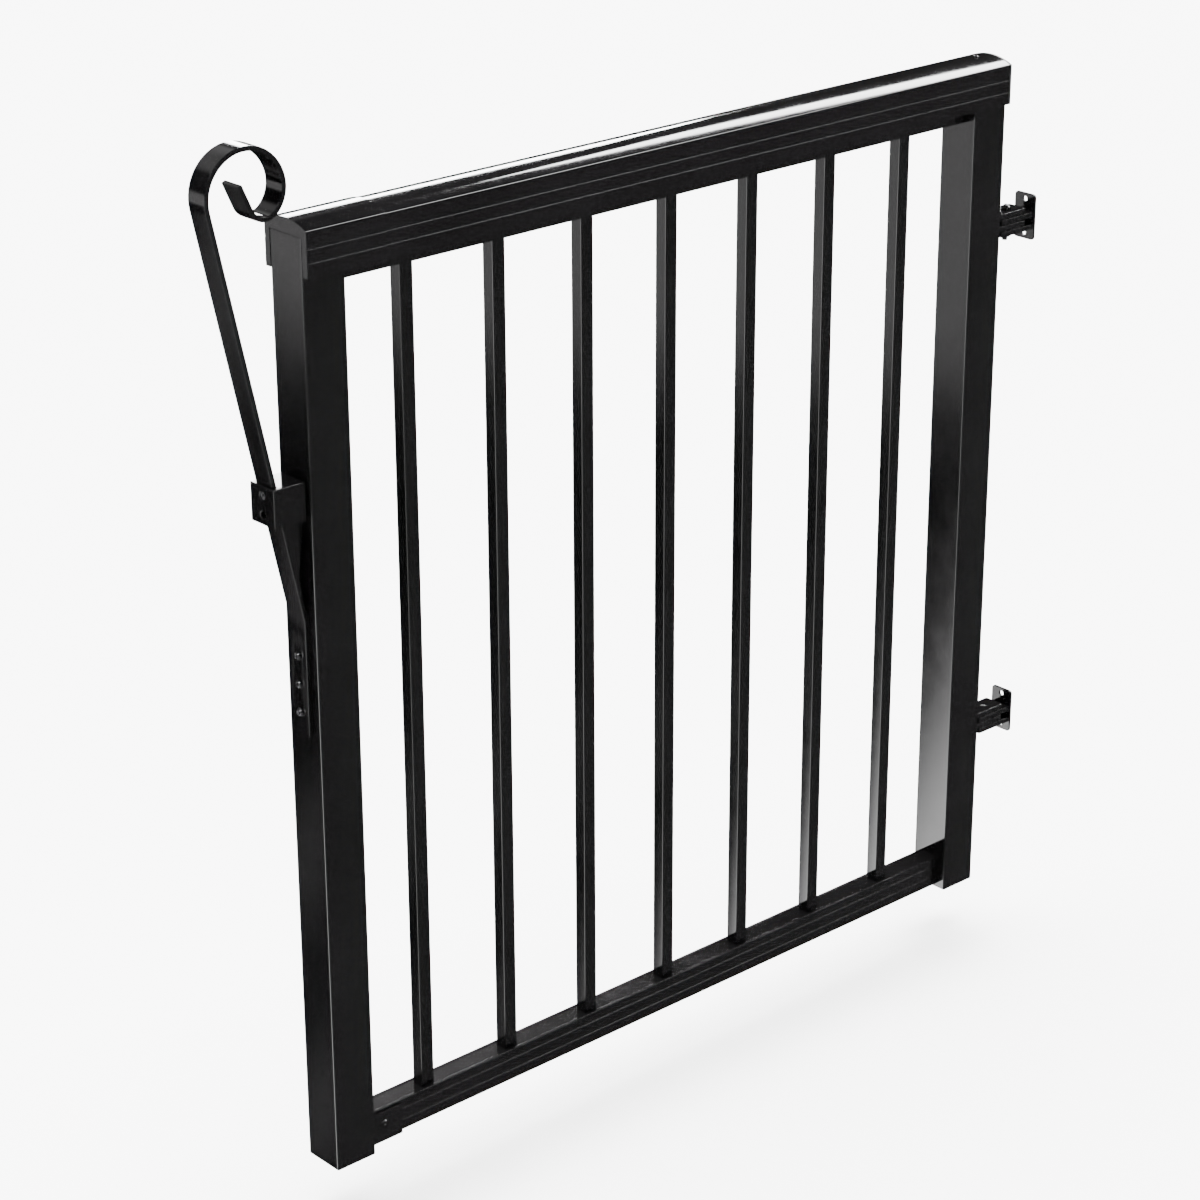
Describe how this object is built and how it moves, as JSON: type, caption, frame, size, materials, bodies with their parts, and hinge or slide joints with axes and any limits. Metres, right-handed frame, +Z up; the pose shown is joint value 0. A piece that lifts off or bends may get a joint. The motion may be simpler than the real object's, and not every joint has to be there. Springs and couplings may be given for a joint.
{
  "type": "garden gate",
  "caption": "Pedestrian picket gate with a rounded cap rail, stacked-leaf wall hinges and a sprung bar latch with a scroll handle.",
  "frame": {"origin": "middle of the lower hinge's wall face, on the line between its two fixing holes", "axes": "+X out of the gate's hinge side into the wall, +Y from the gate's front to its back, +Z up"},
  "size_m": [1.1585, 0.0652, 1.1069],
  "materials": {
    "coated_aluminium": "gloss black powder coat on aluminium extrusion",
    "coated_steel": "gloss black powder coat on steel",
    "screw_steel": "black-coated screws with worn, brighter heads",
    "zinc_plated_steel": "satin zinc plate",
    "plug_plastic": "black moulded plastic"
  },
  "bodies": {
    "wall_side": {"upper_wall_bracket": "coated_steel", "lower_wall_bracket": "coated_steel", "upper_hinge_bolt": "screw_steel", "upper_hinge_nut": "screw_steel", "lower_hinge_pin": "screw_steel", "upper_hinge_washers": "screw_steel", "lower_hinge_washers": "screw_steel"},
    "gate": {"latch_post": "coated_aluminium", "hinge_post": "coated_aluminium", "post_top_plugs": "plug_plastic", "post_foot_plugs": "plug_plastic", "cap_rail": "coated_aluminium", "cap_end_sleeve": "coated_aluminium", "cap_end_plug": "plug_plastic", "cap_screw": "screw_steel", "picket_channel": "coated_aluminium", "bottom_rail": "coated_aluminium", "bottom_rail_insert": "coated_aluminium", "bottom_rail_cup": "coated_aluminium", "bottom_rail_cleat": "zinc_plated_steel", "rail_screws": "screw_steel", "picket_1": "coated_aluminium", "picket_2": "coated_aluminium", "picket_3": "coated_aluminium", "picket_4": "coated_aluminium", "picket_5": "coated_aluminium", "picket_6": "coated_aluminium", "picket_7": "coated_aluminium", "upper_gate_bracket": "coated_steel", "lower_gate_bracket": "coated_steel", "gate_bracket_screws": "screw_steel", "latch_strap": "coated_steel", "latch_strap_screws": "screw_steel"},
    "latch": {"latch_arm": "coated_steel", "latch_block": "coated_steel", "latch_gussets": "coated_steel", "latch_set_screws": "screw_steel"}
  },
  "joints": [
    {"name": "gate_swing", "type": "hinge", "parent": "wall_side", "child": "gate", "pos_m": [-0.0355, 0, 0.313], "axis": [0, 0, 1], "range_deg": [-90, 90]},
    {"name": "latch_spring", "type": "hinge", "parent": "gate", "child": "latch", "pos_m": [-1.0624, 0, 0.422], "axis": [0, -1, 0], "range_deg": [-0.5, 3], "stiffness_Nm_per_rad": 300}
  ]
}
